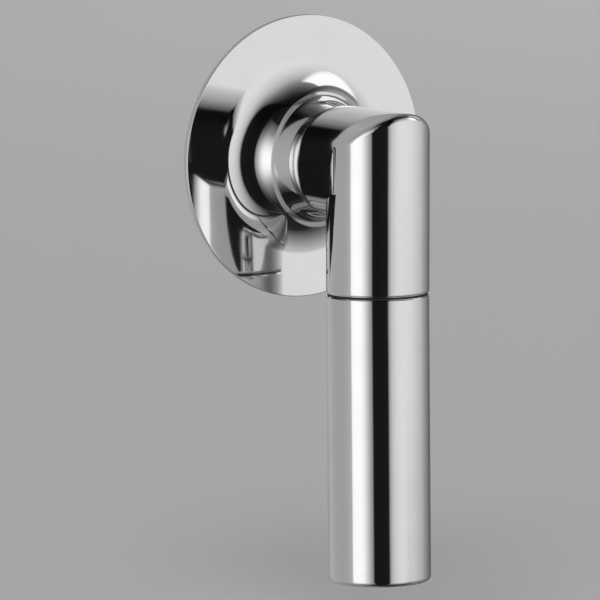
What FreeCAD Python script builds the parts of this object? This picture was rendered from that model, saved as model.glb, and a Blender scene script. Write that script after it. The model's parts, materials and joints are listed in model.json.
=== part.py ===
import FreeCAD, Part
import math
import os

os.makedirs("parts", exist_ok=True)

# Cistern lever, millimetres.
# The outside face of the cistern wall is the plane y = 0 and the spindle lies along Y through the origin.
# Heights in front of the wall are counted toward -Y, depths behind it toward +Y, and the grip hangs along -Z.

Vector = FreeCAD.Vector
ORIGIN = Vector(0, 0, 0)
ACROSS = Vector(1, 0, 0)
SPINDLE_AXIS = Vector(0, 1, 0)
UPRIGHT = Vector(0, 0, 1)

# Clearances
running_clearance = 0.05
fitted_clearance = 0.02
loose_clearance = 0.15

# Escutcheon: gasket, slightly dished face, one large concave flare and the neck
gasket_thickness = 0.8
gasket_inset = 1.8
gasket_width = 4.0
escutcheon_radius = 28.2
escutcheon_edge = 1.0
escutcheon_edge_bevel = 0.15
face_dish = 1.0
flare_radius = 9.5
neck_radius = 10.5
neck_wall = 1.1
neck_edge_bevel = 0.1
neck_straight = 0.95
web_height = 3.2
web_thickness = 1.2

# Threaded shank with a round flange in the neck and two flats against turning
shank_radius = 7.9
shank_flat = 6.9
shank_flange_thickness = 2.0
shank_bore_play = 0.5
shank_end_chamfer = 0.8

# Room for the cistern wall and the clamping pieces behind it
wall_space = 10.0
seal_washer_radius = 17.0
seal_washer_thickness = 1.5
clamp_washer_radius = 15.5
clamp_washer_thickness = 1.2
nut_across_flats = 24.0
nut_height = 6.0
nut_collar_radius = 13.2
nut_collar_height = 1.5
nut_corner_bevel = 1.1
thread_tail = 2.3

# Spindle, its bushes and thrust washers
spindle_radius = 4.0
spindle_socket_depth = 13.5
spindle_flat_depth = 0.4
spindle_flat_length = 6.0
bush_wall = 1.2
bush_length = 6.0
bush_head_thickness = 0.7
thrust_washer_inset = 0.2
thrust_washer_thickness = 0.4
circlip_thickness = 0.7
circlip_width = 1.6
circlip_groove_depth = 0.45
circlip_opening = 4.2
circlip_lug_radius = 1.2
circlip_eye_radius = 0.6
arm_shoulder_gap = 0.7

# Hub of the lever: spigot, trim collar, square-cut seal ring and stop pin
collar_inset = 0.3
collar_thickness = 0.45
seal_groove_inset = 0.5
seal_ring_section = 1.2
stop_pin_radius = 0.7
stop_pin_wall = 0.28
stop_pin_grip = 3.0
stop_slot_depth = 1.3
stop_slot_play = 0.1
lever_swing = 40.0

# Elbow of the lever: level barrel, mitred corner and upright stub
barrel_radius = 11.25
barrel_reach = 14.4
barrel_root_radius = 10.45
barrel_root_bevel = 0.15
barrel_taper = 3.2
barrel_side_round = 0.95
barrel_side_setback = 0.75
stub_step = 1.05
stub_drop = 24.85
stub_end_round = 0.65
mitre_round = 1.5

# Grip and what joins it to the elbow
grip_step = 0.04
grip_length = 56.8
grip_lean = 0.9
grip_wall = 2.4
grip_end_wall = 3.0
grip_top_bevel = 0.2
grip_end_round = 1.0
joint_ring_thickness = 0.3
joint_ring_inset = 0.25
joint_ring_width = 3.4
stud_radius = 4.0
stud_in_elbow = 11.5
stud_in_grip = 12.0
stud_tip_chamfer = 0.6
insert_length = 14.0
hole_tip_room = 1.0

# Screws
grub_radius = 2.5
grub_length = 5.6
grub_from_root = 5.5
grub_key_radius = 1.45
grub_key_depth = 2.2
arm_screw_radius = 2.0
arm_screw_length = 8.0
arm_screw_head_radius = 4.0
arm_screw_head_height = 2.4
arm_screw_slot = 1.0
arm_screw_slot_depth = 1.2
arm_screw_head_bevel = 0.8

# Lift arm on the squared end of the spindle
arm_thickness = 3.0
arm_reach = 40.0
arm_boss_radius = 7.5
arm_tip_radius = 4.6
arm_hole_radius = 2.1
arm_hole_pitch = 8.0
arm_square = 6.2
lock_washer_radius = 3.9
lock_washer_thickness = 0.8
lock_washer_split = 0.9

# Heights in front of the wall and the radii that follow from the sizes above
edge_height = gasket_thickness + escutcheon_edge
flare_start_r = neck_radius + flare_radius
foot_height = edge_height - (escutcheon_radius - flare_start_r) * math.tan(math.radians(face_dish))
flare_height = foot_height + flare_radius
neck_front = flare_height + neck_straight
web_front = web_height + web_thickness
flange_front = web_front + shank_flange_thickness
bush_front = flange_front + bush_head_thickness
thrust_front = bush_front + thrust_washer_thickness
spigot_rear = thrust_front + running_clearance
collar_rear = neck_front + running_clearance
barrel_rear = collar_rear + collar_thickness + fitted_clearance
taper_front = barrel_rear + barrel_taper
lever_height = barrel_rear + barrel_reach
bore_radius = neck_radius - neck_wall
spigot_radius = bore_radius - loose_clearance
seal_outer = bore_radius - running_clearance
seal_floor = seal_outer - seal_ring_section - fitted_clearance
stop_pin_circle = seal_floor - stop_pin_wall - stop_pin_radius
bush_head_radius = stop_pin_circle - stop_pin_radius - stop_slot_play - loose_clearance
thrust_washer_radius = bush_head_radius - thrust_washer_inset
stub_radius = barrel_radius - stub_step
grip_radius = stub_radius - grip_step
seal_rear = spigot_rear + seal_groove_inset
seal_front = seal_rear + seal_ring_section + running_clearance
socket_end = spigot_rear + spindle_socket_depth

# Depths behind the wall
clamp_washer_rear = wall_space + seal_washer_thickness + clamp_washer_thickness
nut_rear = clamp_washer_rear + nut_height
shank_rear = nut_rear + thread_tail
rear_bush_rear = shank_rear + bush_head_thickness
rear_thrust_rear = rear_bush_rear + thrust_washer_thickness
circlip_front = rear_thrust_rear + running_clearance
circlip_rear = circlip_front + circlip_thickness
arm_front = circlip_rear + arm_shoulder_gap
arm_rear = arm_front + arm_thickness
lock_washer_rear = arm_rear + lock_washer_thickness

bush_bore = spindle_radius + running_clearance
bush_radius = bush_bore + bush_wall


def on_circle(centre, radius, degrees):
    """Point on a circle in the section plane, by its angle."""
    angle = math.radians(degrees)
    return (centre[0] + radius * math.cos(angle), centre[1] + radius * math.sin(angle))


def section(place, start, steps):
    """Closed face from a start point and steps: a point for a line, or (through, end) for an arc."""
    edges = []
    here = place(*start)
    for step in list(steps) + [start]:
        if isinstance(step[0], tuple):
            end = place(*step[1])
            edges.append(Part.Arc(here, place(*step[0]), end).toShape())
        else:
            end = place(*step)
            if (end - here).Length > 1e-6:
                edges.append(Part.LineSegment(here, end).toShape())
        here = end
    return Part.Face(Part.Wire(edges))


def front_point(radius, height):
    return Vector(radius, -height, 0)


def grip_point(radius, below):
    return Vector(radius, 0, -below)


def plan_point(across, height):
    return Vector(across, -height, 0)


def turned(start, *steps):
    """Solid turned about the spindle axis from (radius, height in front of the wall) points."""
    return section(front_point, start, steps).revolve(ORIGIN, SPINDLE_AXIS, 360)


def turned_upright(start, *steps):
    """Solid turned about the upright axis from (radius, depth below the joint) points."""
    return section(grip_point, start, steps).revolve(ORIGIN, UPRIGHT, 360)


def rod(radius, height_a, height_b):
    """Round bar along the spindle axis between two heights in front of the wall."""
    low = min(height_a, height_b)
    high = max(height_a, height_b)
    return Part.makeCylinder(radius, high - low, Vector(0, -high, 0), SPINDLE_AXIS)


def ring(inner, outer, height_a, height_b):
    return rod(outer, height_a, height_b).cut(rod(inner, height_a, height_b))


def block(x_span, y_span, z_span):
    """Box between pairs of coordinates."""
    corner = Vector(x_span[0], y_span[0], z_span[0])
    return Part.makeBox(x_span[1] - x_span[0], y_span[1] - y_span[0], z_span[1] - z_span[0], corner)


def hexagon(across_flats, centre, direction, length):
    """Hexagonal prism from its centre along a direction."""
    circle = Part.makeCircle(across_flats / math.sqrt(3), centre, direction)
    corners = circle.discretize(7)
    return Part.Face(Part.makePolygon(corners)).extrude(direction * length)


def grip_frame():
    """Place of the joint face: below the elbow, turned so that the grip leans out from the wall."""
    foot = Vector(0, -lever_height, -stub_drop)
    return FreeCAD.Placement(foot, FreeCAD.Rotation(ACROSS, -grip_lean))


def in_grip_frame(shape):
    placed = shape.copy()
    placed.Placement = grip_frame()
    return placed


def chamfered_stud(radius, top, bottom, chamfer):
    """Upright bar with both tips bevelled, given as depths below the joint."""
    return turned_upright(
        (0, top),
        (radius - chamfer, top),
        (radius, top + chamfer),
        (radius, bottom - chamfer),
        (radius - chamfer, bottom),
        (0, bottom),
    )


def make_escutcheon():
    """Turned plate: dished face, concave flare up to the neck, and the web that the shank's flange sits on."""
    flare_centre = (flare_start_r, flare_height)
    back_radius = flare_radius + foot_height - gasket_thickness
    back_angle = 180 + math.degrees(math.asin((flare_height - web_height) / back_radius))
    body = turned(
        (escutcheon_radius, gasket_thickness),
        (escutcheon_radius, edge_height - escutcheon_edge_bevel),
        (escutcheon_radius - escutcheon_edge_bevel, edge_height),
        (flare_start_r, foot_height),
        (on_circle(flare_centre, flare_radius, 225), (neck_radius, flare_height)),
        (neck_radius, neck_front - neck_edge_bevel),
        (neck_radius - neck_edge_bevel, neck_front),
        (bore_radius, neck_front),
        (bore_radius, web_front),
        (shank_flat / 2, web_front),
        (shank_flat / 2, web_height),
        on_circle(flare_centre, back_radius, back_angle),
        (on_circle(flare_centre, back_radius, (back_angle + 270) / 2), (flare_start_r, gasket_thickness)),
    )
    radius = shank_radius + fitted_clearance
    flat = shank_flat + fitted_clearance
    hole = rod(radius, 0, neck_front).common(
        block((-flat, flat), (-neck_front, 0), (-radius, radius))
    )
    return body.cut(hole)


def make_gasket():
    outer = escutcheon_radius - gasket_inset
    return ring(outer - gasket_width, outer, 0, gasket_thickness)


def make_shank():
    """Threaded shank with two flats, its flange in the neck, a bush seat at each end and the stop slot."""
    tip = shank_radius - shank_end_chamfer
    body = turned(
        (0, -shank_rear),
        (tip, -shank_rear),
        (shank_radius, shank_end_chamfer - shank_rear),
        (shank_radius, web_front),
        (0, web_front),
    )
    flats = block((-shank_flat, shank_flat), (-web_front, shank_rear), (-shank_radius, shank_radius))
    flange = rod(bore_radius - loose_clearance, web_front, flange_front)
    shank = flange.fuse(body.common(flats))
    shank = shank.cut(rod(spindle_radius + shank_bore_play, -shank_rear, flange_front))
    seat = bush_radius + fitted_clearance
    shank = shank.cut(rod(seat, flange_front - bush_length, flange_front))
    shank = shank.cut(rod(seat, -shank_rear, bush_length - shank_rear))
    return shank.cut(make_stop_slot()).removeSplitter()


def make_stop_slot():
    """Curved slot in the flange that the stop pin runs in, from the rest position over the swing."""
    half = stop_pin_radius + stop_slot_play
    floor = flange_front - stop_slot_depth
    inner = stop_pin_circle - half
    outer = stop_pin_circle + half
    slot = section(front_point, (inner, floor), [(outer, floor), (outer, flange_front), (inner, flange_front)])
    slot.rotate(ORIGIN, SPINDLE_AXIS, -90)
    slot = slot.revolve(ORIGIN, -SPINDLE_AXIS, lever_swing)
    for angle in (0, lever_swing):
        end = rod(half, floor, flange_front)
        end.translate(stop_pin_place(angle))
        slot = slot.fuse(end)
    return slot.removeSplitter()


def stop_pin_place(angle):
    """Centre of the stop pin after the lever has swung by an angle."""
    turn = math.radians(90 + angle)
    return Vector(stop_pin_circle * math.cos(turn), 0, stop_pin_circle * math.sin(turn))


def make_bush(inner_face, outward):
    """Flanged bush: inner_face is the height of the face under its head, outward the side of the head."""
    sleeve = ring(bush_bore, bush_radius, inner_face, inner_face - outward * (bush_length - running_clearance))
    head = ring(bush_bore, bush_head_radius, inner_face, inner_face + outward * bush_head_thickness)
    return sleeve.fuse(head).removeSplitter()


def make_spindle():
    front = socket_end - running_clearance
    bar = rod(spindle_radius, -arm_front, front)
    tip = rod(spindle_radius, -arm_rear + running_clearance, -arm_front)
    half = arm_square / 2
    tip = tip.common(block((-half, half), (0, arm_rear), (-half, half)))
    spindle = bar.fuse(tip)
    groove = ring(
        spindle_radius - circlip_groove_depth, spindle_radius * 2,
        -circlip_rear - fitted_clearance, -circlip_front + fitted_clearance,
    )
    flat_rear = front - spindle_flat_length
    flat = block(
        (-spindle_radius, spindle_radius), (-front, -flat_rear),
        (-spindle_radius * 2, -spindle_radius + spindle_flat_depth),
    )
    hole_front = -arm_rear + arm_screw_length + hole_tip_room
    hole = rod(arm_screw_radius + fitted_clearance, -arm_rear, hole_front)
    return spindle.cut(groove).cut(flat).cut(hole).removeSplitter()


def make_circlip():
    """Spring ring with an opening to the side and a lug at each end."""
    inner = spindle_radius - circlip_groove_depth + fitted_clearance
    outer = inner + circlip_width
    clip = ring(inner, outer, -circlip_rear, -circlip_front)
    half = circlip_opening / 2
    lug_up = half + circlip_lug_radius
    lug_across = math.sqrt(outer ** 2 - lug_up ** 2)
    for side in (1, -1):
        centre = Vector(lug_across, circlip_front, side * lug_up)
        clip = clip.fuse(Part.makeCylinder(circlip_lug_radius, circlip_thickness, centre, SPINDLE_AXIS))
        clip = clip.cut(Part.makeCylinder(circlip_eye_radius, circlip_thickness, centre, SPINDLE_AXIS))
    clip = clip.cut(rod(inner, -circlip_rear, -circlip_front))
    gap = block((0, outer * 2), (circlip_front, circlip_rear), (-half, half))
    return clip.cut(gap).removeSplitter()


def make_collar():
    """Slim ring on the spigot that fills the gap between the neck and the barrel."""
    inner = spigot_radius + fitted_clearance
    return ring(inner, neck_radius - collar_inset, collar_rear, collar_rear + collar_thickness)


def make_seal_ring():
    """Square-cut ring in the spigot's groove, running in the neck's bore."""
    return ring(seal_outer - seal_ring_section, seal_outer, seal_rear, seal_rear + seal_ring_section)


def make_stop_pin():
    tip = flange_front - stop_slot_depth + stop_slot_play
    pin = rod(stop_pin_radius, tip, spigot_rear + stop_pin_grip)
    pin.translate(stop_pin_place(0))
    return pin


def make_elbow():
    """Cast elbow: spigot and level barrel, mitred into the upright stub."""
    core = make_elbow_core()
    side_front = lever_height - barrel_side_setback
    root_height = barrel_rear + barrel_root_bevel
    swell = barrel_radius - barrel_root_radius
    length = taper_front - root_height
    taper_radius = (length ** 2 + swell ** 2) / (2 * swell)
    taper_centre = (barrel_radius - taper_radius, taper_front)
    taper_middle = -math.degrees(math.asin(length / taper_radius)) / 2
    barrel = turned(
        (0, spigot_rear),
        (spigot_radius, spigot_rear),
        (spigot_radius, seal_rear),
        (seal_floor, seal_rear),
        (seal_floor, seal_front),
        (spigot_radius, seal_front),
        (spigot_radius, barrel_rear),
        (barrel_root_radius - barrel_root_bevel, barrel_rear),
        (barrel_root_radius, root_height),
        (on_circle(taper_centre, taper_radius, taper_middle), (barrel_radius, taper_front)),
        (barrel_radius, side_front),
        (0, side_front),
    )
    elbow = barrel.common(barrel_plan(side_front)).fuse(core).removeSplitter()

    reach = stub_drop * 2
    below = block((-reach, reach), (-reach, reach), (-reach, 0))
    elbow = elbow.cut(in_grip_frame(below))
    joint_face = min(elbow.Faces, key=lambda face: face.CenterOfMass.z)
    elbow = elbow.makeFillet(stub_end_round, joint_face.OuterWire.Edges)

    elbow = elbow.cut(rod(spindle_radius + fitted_clearance, spigot_rear, socket_end))
    pin_hole = rod(stop_pin_radius + fitted_clearance / 2, spigot_rear, spigot_rear + stop_pin_grip)
    pin_hole.translate(stop_pin_place(0))
    stud_hole = Part.makeCylinder(
        stud_radius + fitted_clearance, stud_in_elbow + hole_tip_room, ORIGIN, UPRIGHT
    )
    grub_hole = Part.makeCylinder(
        grub_radius + fitted_clearance, barrel_radius, grub_place(), -UPRIGHT
    )
    return elbow.cut(pin_hole).cut(in_grip_frame(stud_hole)).cut(grub_hole)


def make_elbow_core():
    """Upright stub and the level part as wide as the stub, with the mitre between them rounded."""
    wide = barrel_radius * 3
    level = rod(barrel_radius, taper_front, lever_height + wide)
    top = Vector(0, -lever_height, barrel_radius)
    stub = Part.makeCylinder(stub_radius, barrel_radius + stub_drop + stub_radius, top, -UPRIGHT)
    outside = block((-wide, wide), (-lever_height - wide, -taper_front), (0, wide)).cut(level)
    flanks = block(
        (-stub_radius, stub_radius), (-lever_height, -taper_front), (-barrel_radius, barrel_radius)
    )
    core = stub.cut(outside).fuse(flanks.common(level)).removeSplitter()
    boxes = [(edge, edge.BoundBox) for edge in core.Edges]
    rounded = [edge for edge, box in boxes if box.ZMin > 0 and box.YLength > mitre_round]
    return core.makeFillet(mitre_round, rounded)


def barrel_plan(side_front):
    """Plan of the barrel: its sides end in a rounded shoulder just behind the stub."""
    inner = barrel_radius - barrel_side_round
    shoulder = side_front - barrel_side_round
    right = on_circle((inner, shoulder), barrel_side_round, 45)
    left = (-right[0], right[1])
    plan = section(
        plan_point,
        (-barrel_radius, 0),
        [
            (-barrel_radius, shoulder),
            (left, (-inner, side_front)),
            (inner, side_front),
            (right, (barrel_radius, shoulder)),
            (barrel_radius, 0),
        ],
    )
    plan.translate(Vector(0, 0, -barrel_radius))
    return plan.extrude(Vector(0, 0, barrel_radius * 2))


def grub_place():
    """Centre of the flat on the spindle that the grub screw bears on."""
    return Vector(0, -barrel_rear - grub_from_root, -spindle_radius + spindle_flat_depth)


def make_grub_screw():
    screw = Part.makeCylinder(grub_radius, grub_length, grub_place(), -UPRIGHT)
    key_start = grub_place() - UPRIGHT * grub_length
    key = hexagon(grub_key_radius * math.sqrt(3), key_start, UPRIGHT, grub_key_depth)
    return screw.cut(key)


def make_joint_ring():
    outer = grip_radius - joint_ring_inset
    inner = outer - joint_ring_width
    shape = turned_upright((inner, 0), (outer, 0), (outer, joint_ring_thickness), (inner, joint_ring_thickness))
    return in_grip_frame(shape)


def make_stud():
    bottom = joint_ring_thickness + stud_in_grip
    return in_grip_frame(chamfered_stud(stud_radius, -stud_in_elbow, bottom, stud_tip_chamfer))


def make_insert():
    top = joint_ring_thickness + loose_clearance
    outer = grip_radius - grip_wall - fitted_clearance
    inner = stud_radius + fitted_clearance
    bottom = top + insert_length
    shape = turned_upright((inner, top), (outer, top), (outer, bottom), (inner, bottom))
    return in_grip_frame(shape)


def make_grip():
    top = joint_ring_thickness
    bottom = top + grip_length
    bore = grip_radius - grip_wall
    floor = bottom - grip_end_wall
    end_centre = (grip_radius - grip_end_round, bottom - grip_end_round)
    shape = turned_upright(
        (bore, top),
        (grip_radius - grip_top_bevel, top),
        (grip_radius, top + grip_top_bevel),
        (grip_radius, end_centre[1]),
        (on_circle(end_centre, grip_end_round, 45), (end_centre[0], bottom)),
        (0, bottom),
        (0, floor),
        (bore, floor),
    )
    return in_grip_frame(shape)


def make_nut():
    front = -clamp_washer_rear
    rear = -nut_rear
    collar = rod(nut_collar_radius, front - nut_collar_height, front)
    prism = hexagon(nut_across_flats, Vector(0, clamp_washer_rear, 0), SPINDLE_AXIS, nut_height)
    corner = nut_across_flats / math.sqrt(3)
    crown = turned(
        (0, front), (corner, front), (corner, rear + nut_corner_bevel), (nut_across_flats / 2, rear), (0, rear)
    )
    nut = collar.fuse(prism.common(crown))
    bore = rod(shank_radius + running_clearance, rear, front)
    return nut.cut(bore).removeSplitter()


def arm_outline(grow=0.0):
    """Tapered bar between the boss circle and the tip circle, with tangent sides."""
    big = arm_boss_radius + grow
    small = arm_tip_radius + grow
    lean = math.degrees(math.acos((big - small) / arm_reach))
    boss = (0.0, 0.0)
    tip = (arm_reach, 0.0)

    def place(along, up):
        return Vector(along, arm_front, up)

    return section(
        place,
        on_circle(boss, big, lean),
        [
            (on_circle(boss, big, 180), on_circle(boss, big, -lean)),
            on_circle(tip, small, -lean),
            (on_circle(tip, small, 0), on_circle(tip, small, lean)),
        ],
    )


def make_arm():
    arm = arm_outline().extrude(SPINDLE_AXIS * arm_thickness)
    half = arm_square / 2 + fitted_clearance
    socket = rod(spindle_radius + fitted_clearance, -arm_rear, -arm_front)
    socket = socket.common(block((-half, half), (0, arm_rear), (-half, half)))
    arm = arm.cut(socket)
    for step in (0, 1):
        centre = Vector(arm_reach - step * arm_hole_pitch, arm_front, 0)
        arm = arm.cut(Part.makeCylinder(arm_hole_radius, arm_thickness, centre, SPINDLE_AXIS))
    return arm


def make_lock_washer():
    washer = ring(arm_screw_radius + loose_clearance, lock_washer_radius, -lock_washer_rear, -arm_rear)
    half = lock_washer_split / 2
    split = block((-half, half), (arm_rear, lock_washer_rear), (0, lock_washer_radius * 2))
    return washer.cut(split)


def make_arm_screw():
    shank = rod(arm_screw_radius, -lock_washer_rear, arm_screw_length - arm_rear)
    top = lock_washer_rear + arm_screw_head_height
    head = turned(
        (0, -lock_washer_rear),
        (arm_screw_head_radius, -lock_washer_rear),
        (arm_screw_head_radius, arm_screw_head_bevel - top),
        (arm_screw_head_radius - arm_screw_head_bevel, -top),
        (0, -top),
    )
    half = arm_screw_slot / 2
    slot = block(
        (-arm_screw_head_radius, arm_screw_head_radius), (top - arm_screw_slot_depth, top), (-half, half)
    )
    return shank.fuse(head).cut(slot).removeSplitter()


pieces = {
    "escutcheon": make_escutcheon(),
    "escutcheon_gasket": make_gasket(),
    "threaded_shank": make_shank(),
    "front_bush": make_bush(flange_front, 1),
    "rear_bush": make_bush(-shank_rear, -1),
    "front_thrust_washer": ring(bush_bore, thrust_washer_radius, bush_front, thrust_front),
    "rear_thrust_washer": ring(bush_bore, thrust_washer_radius, -rear_thrust_rear, -rear_bush_rear),
    "inner_seal_washer": ring(
        shank_radius + loose_clearance, seal_washer_radius,
        -wall_space - seal_washer_thickness, -wall_space,
    ),
    "clamp_washer": ring(
        shank_radius + loose_clearance, clamp_washer_radius,
        -clamp_washer_rear, -wall_space - seal_washer_thickness,
    ),
    "back_nut": make_nut(),
    "spindle": make_spindle(),
    "spindle_circlip": make_circlip(),
    "hub_collar": make_collar(),
    "hub_seal_ring": make_seal_ring(),
    "stop_pin": make_stop_pin(),
    "lever_elbow": make_elbow(),
    "spindle_grub_screw": make_grub_screw(),
    "joint_ring": make_joint_ring(),
    "grip_stud": make_stud(),
    "grip_insert": make_insert(),
    "lever_grip": make_grip(),
    "lift_arm": make_arm(),
    "arm_lock_washer": make_lock_washer(),
    "arm_screw": make_arm_screw(),
}

for name, shape in pieces.items():
    shape.exportStep(os.path.join("parts", name + ".step"))
    print(f"{name:22s} solids {len(shape.Solids)}  valid {shape.isValid()}  volume {shape.Volume:10.2f}")
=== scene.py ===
import json
import math
import bpy
import bmesh
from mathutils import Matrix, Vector


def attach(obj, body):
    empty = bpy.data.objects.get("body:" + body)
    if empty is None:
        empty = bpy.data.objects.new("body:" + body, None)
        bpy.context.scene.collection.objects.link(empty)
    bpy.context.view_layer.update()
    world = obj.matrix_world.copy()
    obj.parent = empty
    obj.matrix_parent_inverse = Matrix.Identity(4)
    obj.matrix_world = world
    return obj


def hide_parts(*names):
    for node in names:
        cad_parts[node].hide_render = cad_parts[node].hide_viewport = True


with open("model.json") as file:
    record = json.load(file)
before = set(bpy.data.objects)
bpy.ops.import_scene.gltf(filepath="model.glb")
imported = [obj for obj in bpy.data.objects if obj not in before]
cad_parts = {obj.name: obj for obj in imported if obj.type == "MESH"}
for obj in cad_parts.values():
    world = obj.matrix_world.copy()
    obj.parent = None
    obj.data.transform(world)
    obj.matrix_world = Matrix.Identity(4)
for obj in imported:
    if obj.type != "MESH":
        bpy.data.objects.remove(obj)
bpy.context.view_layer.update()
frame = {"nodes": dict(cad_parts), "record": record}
nodes = frame["nodes"]

# Metres throughout. The wall's face is y = 0, the spindle lies along Y, and the grip hangs along -Z.
MM = 0.001

# Turned pieces: steps round the axis, strips that keep long runs flat, and what counts as a sharp edge
turn_steps = 360
flat_strip = 0.12 * MM
shortest_flat_run = 0.72 * MM
sharp_angle = 25.0
weld_distance = 0.0001 * MM

# Degrees between the points of an arc: on a rounding, the flare, the hollow behind it and the trim ring
rounding_step = 15
flare_step = 1
hollow_step = 2
trim_step = 30

# Camera at the photograph's viewing angle
camera_azimuth = -34.748
camera_elevation = 7.538
camera_place = (-0.708715, -1.02194, 0.135387)
camera_lens = 376.0
camera_sensor = 36.0
camera_near = 0.05
camera_far = 100.0

# Stage: floor, backdrop, tent, and the lamps with their places, sizes and watts
floor_height = -0.10
floor_reach = 30.0
floor_tone = 0.72
pale_backdrop = 0.62
tent_radius = 4.0
lamps = {
    "key_lamp": ((-1.2, -1.4, 1.6), 1.2, 18),
    "fill_lamp": ((1.6, 1.2, 1.4), 1.5, 12),
}

# Brightness of the tent at the object's own level, by azimuth from the front toward +X, as display greys
tent_walls = [
    (-180, 184), (-149, 168), (-122, 166), (-108, 174), (-97.5, 186), (-96.5, 262), (-90, 271),
    (-80, 271), (-74, 269), (-69, 258), (-64, 235), (-55, 181), (-48.5, 140), (-46.8, 26), (-35, 24),
    (-13.3, 28), (-11, 150), (-8, 184), (-4, 206), (5, 226), (15, 233), (30, 233), (45, 229), (60, 214),
    (76, 197), (88, 165), (100, 143), (114, 108), (130, 112), (150, 165), (180, 184),
]

# Share of that brightness by elevation: on the left softbox, in the dark gap, in front and behind
left_fade = [
    (-75, 0.02), (-65, 0.045), (-55, 0.11), (-45, 0.22), (-35, 0.42), (-25, 0.72), (-15, 0.95), (-5, 1.0),
    (5, 0.97), (15, 0.8), (25, 0.5), (35, 0.25), (45, 0.13), (50, 0.08), (53, 0.012), (90, 0.01),
]
gap_fade = [(-75, 3.0), (-65, 1.4), (-45, 0.8), (0, 1.0), (35, 0.6), (90, 0.6)]
front_fade = [
    (-65, 0.033), (-55, 0.045), (-45, 0.24), (-35, 0.44), (-25, 0.66), (-15, 0.89), (-5, 1.0), (5, 1.0),
    (15, 0.9), (25, 0.76), (35, 0.56), (45, 0.27), (55, 0.117), (65, 0.03), (75, 0.01), (90, 0.01),
]
back_fade = [(-90, 0.55), (-45, 0.7), (-25, 1.0), (0, 1.0), (25, 0.92), (45, 0.8), (65, 0.6), (90, 0.5)]

# Stretches of the wall by azimuth: both ends, and how soft each is
left_softbox = (-97, -47.5, 0.5, 0.7)
dark_gap = (-47.5, -12.5, 0.7, 1.5)
front_wall = (-12.5, 88, 1.5, 5)

# The gap's right edge leans this far to the right between two elevations, from the middle of the gap on
gap_lean = 4
gap_lean_heights = (5, 35)
gap_middle = (-40, -30)

# Darker parts of the wall: where each begins and ends by azimuth and by elevation, and the share it takes away
low_right = ((22, 36), (-14, -6), 0.28)
dark_slot = ((70.5, 81, 1, 3), (8, 14), 0.55)
high_by_gap = ((-10, 15), (15, 35), 0.45)

# Cards and boxes in front of the wall: stretch by azimuth, stretch by elevation, and brightness
boxes = {
    "top_box": ((42, 70, 7, 1), (10, 43, 6, 2.5), 1.13),
    "side_box": ((89, 104, 3, 5), (19, 52, 5, 5), 0.76),
    "low_card": ((79, 104, 4, 5), (-75, -41, 8, 4), 0.31),
}

# Turning marks on brass, in radians to the metre
turning_marks = 42.0 / MM

# Escutcheon: rim, slightly dished face, flare of two arcs and a cone, and a short straight neck
rim_radius = 28.2 * MM
rim_front = 1.8 * MM
rim_bevel = 0.15 * MM
back_height = 0.8 * MM
flare_foot = (19.62 * MM, 1.70 * MM)
flare_radii = (9.32 * MM, 8.02 * MM)
flare_turns = (40.9, 71.5)
neck_radius = 10.02 * MM
neck_front = 12.107 * MM
neck_bevel = 0.08 * MM
bore_radius = 9.4 * MM
web_rear = 3.2 * MM
web_front = 4.4 * MM
web_hole = 7.92 * MM

# Trim ring between the neck and the barrel
trim_gap = 0.05 * MM
trim_thickness = 0.45 * MM
trim_rear = neck_front + trim_gap
trim_front = trim_rear + trim_thickness
trim_radius = 10.2 * MM
trim_inner = 9.27 * MM
trim_bevel = 0.06 * MM

# Sides of the elbow: beyond this half width they ease in, fully above one height and not below another,
# and the slope across them stays above the last value
slim_start = 9.4 * MM
slim_rate = 0.2776 / MM
slim_high = -7.0 * MM
slim_low = -14.0 * MM
slim_least_slope = 0.03


class Wire:
    """An output socket that takes part in sums, differences, products and quotients."""

    def __init__(self, recipe, socket):
        self.recipe = recipe
        self.socket = socket

    def maths(self, operation, *others):
        sockets = dict(enumerate((self, *others)))
        return self.recipe.node("ShaderNodeMath", {"operation": operation}, sockets)

    def __add__(self, other):
        return self.maths("ADD", other)

    def __radd__(self, other):
        return self.maths("ADD", other)

    def __sub__(self, other):
        return self.maths("SUBTRACT", other)

    def __rsub__(self, other):
        return self.maths("MULTIPLY_ADD", -1, other)

    def __mul__(self, other):
        return self.maths("MULTIPLY", other)

    def __rmul__(self, other):
        return self.maths("MULTIPLY", other)

    def __truediv__(self, other):
        return self.maths("DIVIDE", other)

    def larger(self, other):
        return self.maths("MAXIMUM", other)

    def within(self, low, high, soft_low, soft_high):
        """One between two values and zero outside, with soft edges."""
        rise = self.ramped(low - soft_low, low + soft_low)
        return rise * self.ramped(high - soft_high, high + soft_high, 1.0, 0.0)

    def ramped(self, low, high, out_low=0.0, out_high=1.0):
        """A smooth change from out_low to out_high between two values."""
        sockets = {"Value": self, "From Min": low, "From Max": high, "To Min": out_low, "To Max": out_high}
        return self.recipe.node("ShaderNodeMapRange", {"interpolation_type": "SMOOTHSTEP"}, sockets)


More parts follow.
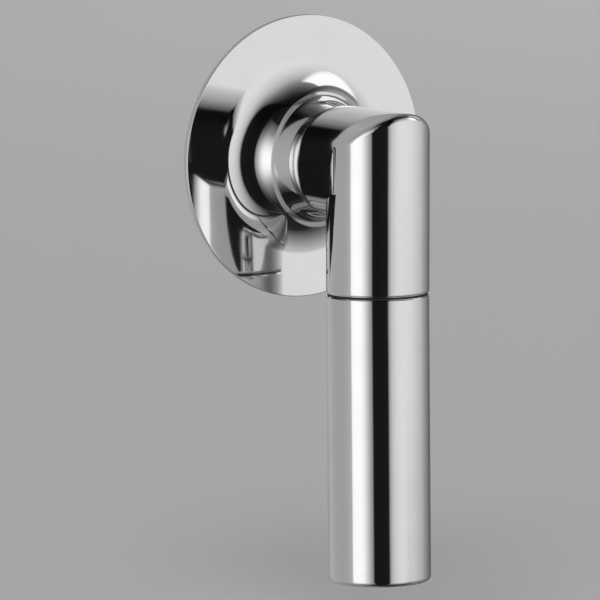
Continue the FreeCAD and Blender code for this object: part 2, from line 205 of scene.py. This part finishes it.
class Recipe:
    """The nodes of one material or of the world."""

    def __init__(self, tree):
        self.tree = tree
        tree.nodes.clear()

    def node(self, kind, settings=None, sockets=None, output=0):
        """Adds a node: its settings first, then the values or links of its sockets."""
        made = self.tree.nodes.new(kind)
        for name, value in (settings or {}).items():
            if name == "stops":
                self.set_stops(made.color_ramp, value)
            else:
                setattr(made, name, value)
        for name, value in (sockets or {}).items():
            if isinstance(value, Wire):
                self.tree.links.new(value.socket, made.inputs[name])
            else:
                made.inputs[name].default_value = value
        return Wire(self, made.outputs[output]) if len(made.outputs) else made

    @staticmethod
    def set_stops(ramp, stops):
        while len(ramp.elements) > 1:
            ramp.elements.remove(ramp.elements[0])
        ramp.elements[0].position = stops[0][0]
        ramp.elements[0].color = (*stops[0][1], 1)
        for place, colour in stops[1:]:
            ramp.elements.new(place).color = (*colour, 1)

    def place(self):
        return self.node("ShaderNodeTexCoord", output="Object")

    def scale(self, value, low, high, stops):
        """Levels that follow a value, straight from one (value, level) stop to the next."""
        ramp = [((at - low) / (high - low), grey(level)) for at, level in stops]
        return self.node("ShaderNodeValToRGB", {"stops": ramp}, {0: (value - low) / (high - low)})

    def split(self, vector):
        """The three parts of a vector."""
        parts = self.node("ShaderNodeSeparateXYZ", sockets={0: vector})
        return [Wire(self, socket) for socket in parts.socket.node.outputs]

    def noise(self, scale, detail, roughness, vector=None):
        sockets = {"Scale": scale, "Detail": detail, "Roughness": roughness}
        sockets["Vector"] = vector or self.place()
        return self.node("ShaderNodeTexNoise", sockets=sockets)

    def blend(self, share, first, second):
        """Colour between two colours."""
        sockets = {"Factor": share, 6: first, 7: second}
        return self.node("ShaderNodeMix", {"data_type": "RGBA"}, sockets, output=2)

    def bump(self, height, depth):
        """Fine relief, with its depth in metres."""
        sockets = {"Height": height, "Distance": depth, "Strength": 1.0}
        return self.node("ShaderNodeBump", sockets=sockets)


def linear(shade):
    """Scene value of a display grey from 0 to 255."""
    share = shade / 255
    return share / 12.92 if share < 0.04045 else ((share + 0.055) / 1.055) ** 2.4


def grey(level):
    return (level, level, level)


def new_material(name, sockets):
    """Principled material. sockets is a function of the recipe that returns its socket values."""
    material = bpy.data.materials.new(name)
    material.use_nodes = True
    recipe = Recipe(material.node_tree)
    shader = recipe.node("ShaderNodeBsdfPrincipled", sockets=sockets(recipe))
    recipe.node("ShaderNodeOutputMaterial", sockets={"Surface": shader})
    return material


def chrome_sockets(recipe):
    """Polished chrome plate: faint cloudiness and the slightest unevenness left by the buffing wheel."""
    cloud = recipe.noise(scale=180, detail=3, roughness=0.6)
    haze = recipe.noise(scale=1400, detail=2, roughness=0.5)
    ripple = recipe.noise(scale=90, detail=1, roughness=0.4)
    tone = cloud.ramped(0.3, 0.7)
    return {
        "Base Color": recipe.blend(tone, (0.845, 0.847, 0.85, 1), (0.875, 0.875, 0.875, 1)),
        "Metallic": 1.0,
        "Roughness": 0.035 + 0.02 * tone + 0.015 * haze,
        "Normal": recipe.bump(ripple, 0.02 * MM),
    }


def brass_sockets(recipe):
    """Machined brass with fine turning marks round the spindle's axis and a slight tarnish."""
    along_spindle = recipe.split(recipe.place())[1]
    marks = (along_spindle * turning_marks).maths("SINE")
    tarnish = recipe.noise(scale=260, detail=4, roughness=0.6)
    return {
        "Base Color": recipe.blend(tarnish.ramped(0.35, 0.7), (0.72, 0.52, 0.22, 1), (0.55, 0.38, 0.15, 1)),
        "Metallic": 1.0,
        "Roughness": 0.2 + 0.12 * tarnish,
        "Normal": recipe.bump(marks, 0.006 * MM),
    }


def zinc_sockets(recipe):
    """Bright zinc plate on steel: a pale grain with soft spangle and duller patches."""
    grain = recipe.node("ShaderNodeTexVoronoi", sockets={"Vector": recipe.place(), "Scale": 900.0})
    patch = recipe.noise(scale=120, detail=4, roughness=0.6)
    return {
        "Base Color": recipe.blend(patch.ramped(0.3, 0.75), (0.66, 0.67, 0.68, 1), (0.5, 0.51, 0.53, 1)),
        "Metallic": 1.0,
        "Roughness": 0.24 + 0.14 * patch,
        "Normal": recipe.bump(grain, 0.01 * MM),
    }


def steel_sockets(recipe):
    """Spring steel with a drawn grain along the spindle's axis."""
    x, y, z = recipe.split(recipe.place())
    finer = 8
    stretched = recipe.node("ShaderNodeCombineXYZ", sockets={0: x * finer, 1: y, 2: z * finer})
    grain = recipe.noise(scale=700, detail=3, roughness=0.6, vector=stretched)
    return {
        "Base Color": recipe.blend(grain, (0.36, 0.36, 0.38, 1), (0.48, 0.48, 0.5, 1)),
        "Metallic": 1.0,
        "Roughness": 0.22 + 0.15 * grain,
        "Normal": recipe.bump(grain, 0.008 * MM),
    }


def rubber_sockets(recipe):
    """Moulded rubber: nearly black, with a fine matt skin and a greyish bloom."""
    skin = recipe.noise(scale=3000, detail=3, roughness=0.6)
    bloom = recipe.noise(scale=140, detail=3, roughness=0.5)
    return {
        "Base Color": recipe.blend(bloom.ramped(0.4, 0.8), (0.022, 0.022, 0.024, 1), (0.05, 0.05, 0.052, 1)),
        "Roughness": 0.5 + 0.25 * skin,
        "Normal": recipe.bump(skin, 0.02 * MM),
    }


def acetal_sockets(recipe):
    """Moulded acetal: milky white with a soft sheen and faint flow marks."""
    flow = recipe.noise(scale=220, detail=3, roughness=0.5)
    skin = recipe.noise(scale=2200, detail=2, roughness=0.5)
    return {
        "Base Color": recipe.blend(flow, (0.83, 0.82, 0.78, 1), (0.9, 0.895, 0.87, 1)),
        "Roughness": 0.3 + 0.15 * skin,
        "Subsurface Weight": 0.1,
        "Subsurface Radius": (MM, MM, 0.8 * MM),
        "Normal": recipe.bump(skin, 0.008 * MM),
    }


def floor_sockets(recipe):
    """Matt pale board."""
    return {"Base Color": (*grey(floor_tone), 1), "Roughness": 0.9}


finishes = {
    "chrome": new_material("polished_chrome", chrome_sockets),
    "brass": new_material("machined_brass", brass_sockets),
    "zinc_steel": new_material("bright_zinc", zinc_sockets),
    "spring_steel": new_material("spring_steel", steel_sockets),
    "black_rubber": new_material("moulded_rubber", rubber_sockets),
    "white_acetal": new_material("moulded_acetal", acetal_sockets),
}

slot_of = {part["node"]: part["material_slot"] for part in frame["record"]["subparts"]}


def dress_nodes():
    """Gives each CAD node the finish of its slot."""
    for name, node in nodes.items():
        node.data.materials.clear()
        node.data.materials.append(finishes[slot_of[name]])


def arc(centre, radius, start, end, step):
    """Points of an arc in the section plane, from its start angle to its end angle."""
    count = max(2, math.ceil(abs(end - start) / step))
    angles = [math.radians(start + (end - start) * i / count) for i in range(count + 1)]
    return [(centre[0] + radius * math.cos(a), centre[1] + radius * math.sin(a)) for a in angles]


def supported(outline):
    """Adds points close to the ends of each long straight run, so that it shades flat."""
    result = []
    for here, after in zip(outline, outline[1:] + outline[:1]):
        result.append(here)
        run = math.dist(here, after)
        if run > shortest_flat_run:
            for share in (flat_strip / run, 1 - flat_strip / run):
                result.append(tuple(start + (end - start) * share for start, end in zip(here, after)))
    return result


def turned_piece(name, outline, body, node):
    """A ring or cap turned about the spindle from (radius, height) points."""
    bm = bmesh.new()
    points = [bm.verts.new((radius, -height, 0)) for radius, height in supported(outline)]
    edges = [bm.edges.new(pair) for pair in zip(points, points[1:] + points[:1])]
    bmesh.ops.spin(
        bm, geom=points + edges, cent=(0, 0, 0), axis=(0, 1, 0),
        angle=math.tau, steps=turn_steps, use_merge=True,
    )
    bmesh.ops.remove_doubles(bm, verts=bm.verts, dist=weld_distance)
    bmesh.ops.recalc_face_normals(bm, faces=bm.faces)
    finish_piece(bm, name, body, node)


def new_object(bm, name):
    """Writes a bmesh to a new object of the scene."""
    mesh = bpy.data.meshes.new(name)
    bm.to_mesh(mesh)
    bm.free()
    made = bpy.data.objects.new(name, mesh)
    bpy.context.scene.collection.objects.link(made)
    return made


def finish_piece(bm, name, body, node, sharp=sharp_angle):
    """Smooth piece that stands for a CAD node. Without a sharp angle it keeps the shading it is given."""
    for face in bm.faces:
        face.smooth = True
    for edge in bm.edges:
        if sharp and len(edge.link_faces) == 2 and edge.calc_face_angle() > math.radians(sharp):
            edge.smooth = False
    piece = new_object(bm, name)
    slot = slot_of[node]
    piece.data.materials.append(finishes[slot])
    if sharp:
        weighted = piece.modifiers.new("face weighted shading", "WEIGHTED_NORMAL")
        weighted.keep_sharp = True
        weighted.weight = 100
    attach(piece, body)
    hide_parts(node)
    return piece


def make_escutcheon():
    """Cover as one turned shell: rim, dished face, two arcs and a cone up to the neck, and the web."""
    foot_radius, foot_height = flare_foot
    wide, tight = flare_radii
    wide_turn, full_turn = flare_turns
    lean = math.radians(wide_turn)
    centre = (foot_radius, foot_height + wide)
    inner = (centre[0] - (wide - tight) * math.sin(lean), centre[1] - (wide - tight) * math.cos(lean))
    hollow = centre[1] - back_height
    web_angle = 180 + math.degrees(math.asin((centre[1] - web_rear) / hollow))

    outline = [(rim_radius, back_height)]
    outline += arc((rim_radius - rim_bevel, rim_front - rim_bevel), rim_bevel, 0, 90, rounding_step)
    outline += arc(centre, wide, 270, 270 - wide_turn, flare_step)
    outline += arc(inner, tight, 270 - wide_turn, 270 - full_turn, flare_step)[1:]
    cone_radius, cone_height = outline[-1]
    shoulder = cone_height + (cone_radius - neck_radius) * math.tan(math.radians(full_turn))
    outline.append((neck_radius, shoulder))
    outline += arc((neck_radius - neck_bevel, neck_front - neck_bevel), neck_bevel, 0, 90, rounding_step)
    outline += [(bore_radius, neck_front), (bore_radius, web_front)]
    outline += [(web_hole, web_front), (web_hole, web_rear)]
    outline += arc(centre, hollow, web_angle, 270, hollow_step)
    turned_piece("escutcheon_shell", outline, "mounting", "escutcheon")


def make_trim_ring():
    """Thin ring with rounded edges in the mouth of the neck."""
    outline = [(trim_inner, trim_rear)]
    outline += arc((trim_radius - trim_bevel, trim_rear + trim_bevel), trim_bevel, -90, 0, trim_step)
    outline += arc((trim_radius - trim_bevel, trim_front - trim_bevel), trim_bevel, 0, 90, trim_step)
    outline.append((trim_inner, trim_front))
    turned_piece("trim_ring", outline, "lever", "hub_collar")


def eased(value, start, end):
    """Smooth share of the way from start to end, and its slope."""
    share = min(1.0, max(0.0, (value - start) / (end - start)))
    return share * share * (3 - 2 * share), 6 * share * (1 - share) / (end - start)


def slimmed(spot):
    """Place across the elbow with its sides eased in, and the slopes of that along the three axes."""
    reach = abs(spot.x) - slim_start
    if reach <= 0:
        return spot.x, Vector((1, 0, 0))
    share, share_slope = eased(spot.z, slim_low, slim_high)
    lost = math.copysign(slim_rate * reach * reach, spot.x)
    across_slope = max(slim_least_slope, 1 - 2 * share * slim_rate * reach)
    return spot.x - lost * share, Vector((across_slope, 0, -lost * share_slope))


def make_elbow():
    """Copy of the elbow with slimmer sides. Its true surface directions are carried along."""
    source = nodes["lever_elbow"]
    place = source.matrix_world
    turn = place.to_3x3()
    mesh = source.data
    bm = bmesh.new()
    bm.from_mesh(mesh)
    layer = bm.loops.layers.float_vector.new("direction")
    for face, polygon in zip(bm.faces, mesh.polygons):
        for loop, index in zip(face.loops, polygon.loop_indices):
            loop[layer] = turn @ mesh.corner_normals[index].vector
    bmesh.ops.transform(bm, matrix=place, verts=bm.verts)
    bmesh.ops.remove_doubles(bm, verts=bm.verts, dist=weld_distance)
    normals = []
    for face in bm.faces:
        for loop in face.loops:
            slopes = slimmed(loop.vert.co)[1]
            direction = loop[layer]
            across = direction.x / slopes.x
            turned = (across, direction.y, direction.z - across * slopes.z)
            normals.append(Vector(turned).normalized())
    for vertex in bm.verts:
        vertex.co.x = slimmed(vertex.co)[0]
    bm.loops.layers.float_vector.remove(layer)
    piece = finish_piece(bm, "cast_elbow", "lever", "lever_elbow", sharp=None)
    piece.data.normals_split_custom_set(normals)


def make_tent():
    """Studio tent round the object: graded walls, a tall softbox on the left and a dark gap beside it."""
    bm = bmesh.new()
    bmesh.ops.create_uvsphere(bm, u_segments=64, v_segments=32, radius=tent_radius)
    bmesh.ops.reverse_faces(bm, faces=bm.faces)
    tent = new_object(bm, "studio_tent")
    material = bpy.data.materials.new("tent_cloth")
    material.use_nodes = True
    recipe = Recipe(material.node_tree)
    glow = recipe.node("ShaderNodeEmission", sockets={"Color": tent_light(recipe), "Strength": 1.0})
    recipe.node("ShaderNodeOutputMaterial", sockets={"Surface": glow})
    tent.data.materials.append(material)
    tent.visible_camera = False


def tent_light(recipe):
    """Brightness of the tent by direction from the object: walls, their darker parts, then the boxes."""
    direction = recipe.node("ShaderNodeVectorMath", {"operation": "NORMALIZE"}, {0: recipe.place()})
    x, y, z = recipe.split(direction)
    degrees = 180 / math.pi
    azimuth = x.maths("ARCTAN2", 0 - y) * degrees
    height = z.maths("ARCSINE") * degrees
    right_of_gap = azimuth.ramped(*gap_middle)
    leaned = azimuth - gap_lean * right_of_gap * height.ramped(*gap_lean_heights)
    walls = recipe.scale(leaned, -180, 180, [(angle, linear(level)) for angle, level in tent_walls])

    left = azimuth.within(*left_softbox)
    gap = leaned.within(*dark_gap)
    front = leaned.within(*front_wall)
    fade = recipe.scale(height, -90, 90, back_fade) * (1 - left - gap - front)
    for share, stops in ((left, left_fade), (gap, gap_fade), (front, front_fade)):
        fade = fade + share * recipe.scale(height, -90, 90, stops)

    across, up, depth = low_right
    light = walls * fade * (1 - depth * azimuth.ramped(*across) * height.ramped(*up, 1.0, 0.0))
    across, up, depth = dark_slot
    light = light * (1 - depth * azimuth.within(*across) * height.ramped(*up))
    across, up, depth = high_by_gap
    light = light * (1 - depth * right_of_gap * azimuth.ramped(*across, 1.0, 0.0) * height.ramped(*up))
    for across, up, level in boxes.values():
        light = light.larger(azimuth.within(*across) * height.within(*up) * level)
    return light


def make_stage():
    """Pale floor under the object and a pale world behind it."""
    bm = bmesh.new()
    bmesh.ops.create_grid(bm, x_segments=1, y_segments=1, size=floor_reach)
    bmesh.ops.translate(bm, vec=(0, 0, floor_height), verts=bm.verts)
    floor = new_object(bm, "studio_floor")
    floor.data.materials.append(new_material("pale_floor", floor_sockets))
    floor.visible_glossy = False

    world = bpy.data.worlds.new("pale_backdrop")
    bpy.context.scene.world = world
    world.use_nodes = True
    recipe = Recipe(world.node_tree)
    backdrop = recipe.node(
        "ShaderNodeBackground", sockets={"Color": (*grey(pale_backdrop), 1), "Strength": 1.0}
    )
    recipe.node("ShaderNodeOutputWorld", sockets={"Surface": backdrop})


def make_lamp(name, place, size, power):
    """Soft square lamp that faces the object and isn't mirrored in it."""
    light = bpy.data.lights.new(name, "AREA")
    light.size = size
    light.energy = power
    lamp = bpy.data.objects.new(name, light)
    bpy.context.scene.collection.objects.link(lamp)
    lamp.location = place
    lamp.rotation_euler = Vector(place).to_track_quat("Z", "Y").to_euler()
    lamp.visible_glossy = False


def make_camera():
    """Camera that looks along the photograph's line of sight."""
    turn = math.radians(camera_azimuth)
    rise = math.radians(camera_elevation)
    back = Vector((math.sin(turn) * math.cos(rise), -math.cos(turn) * math.cos(rise), math.sin(rise)))
    data = bpy.data.cameras.new("photo_camera")
    data.lens = camera_lens
    data.sensor_width = camera_sensor
    data.clip_start = camera_near
    data.clip_end = camera_far
    camera = bpy.data.objects.new("photo_camera", data)
    bpy.context.scene.collection.objects.link(camera)
    camera.rotation_mode = "QUATERNION"
    camera.location = camera_place
    camera.rotation_quaternion = (-back).to_track_quat("-Z", "Y")
    bpy.context.scene.camera = camera


dress_nodes()
make_escutcheon()
make_trim_ring()
make_elbow()
make_tent()
make_stage()
for lamp_name, (lamp_place, lamp_size, lamp_power) in lamps.items():
    make_lamp(lamp_name, lamp_place, lamp_size, lamp_power)
make_camera()

bpy.context.scene.view_settings.view_transform = "Standard"
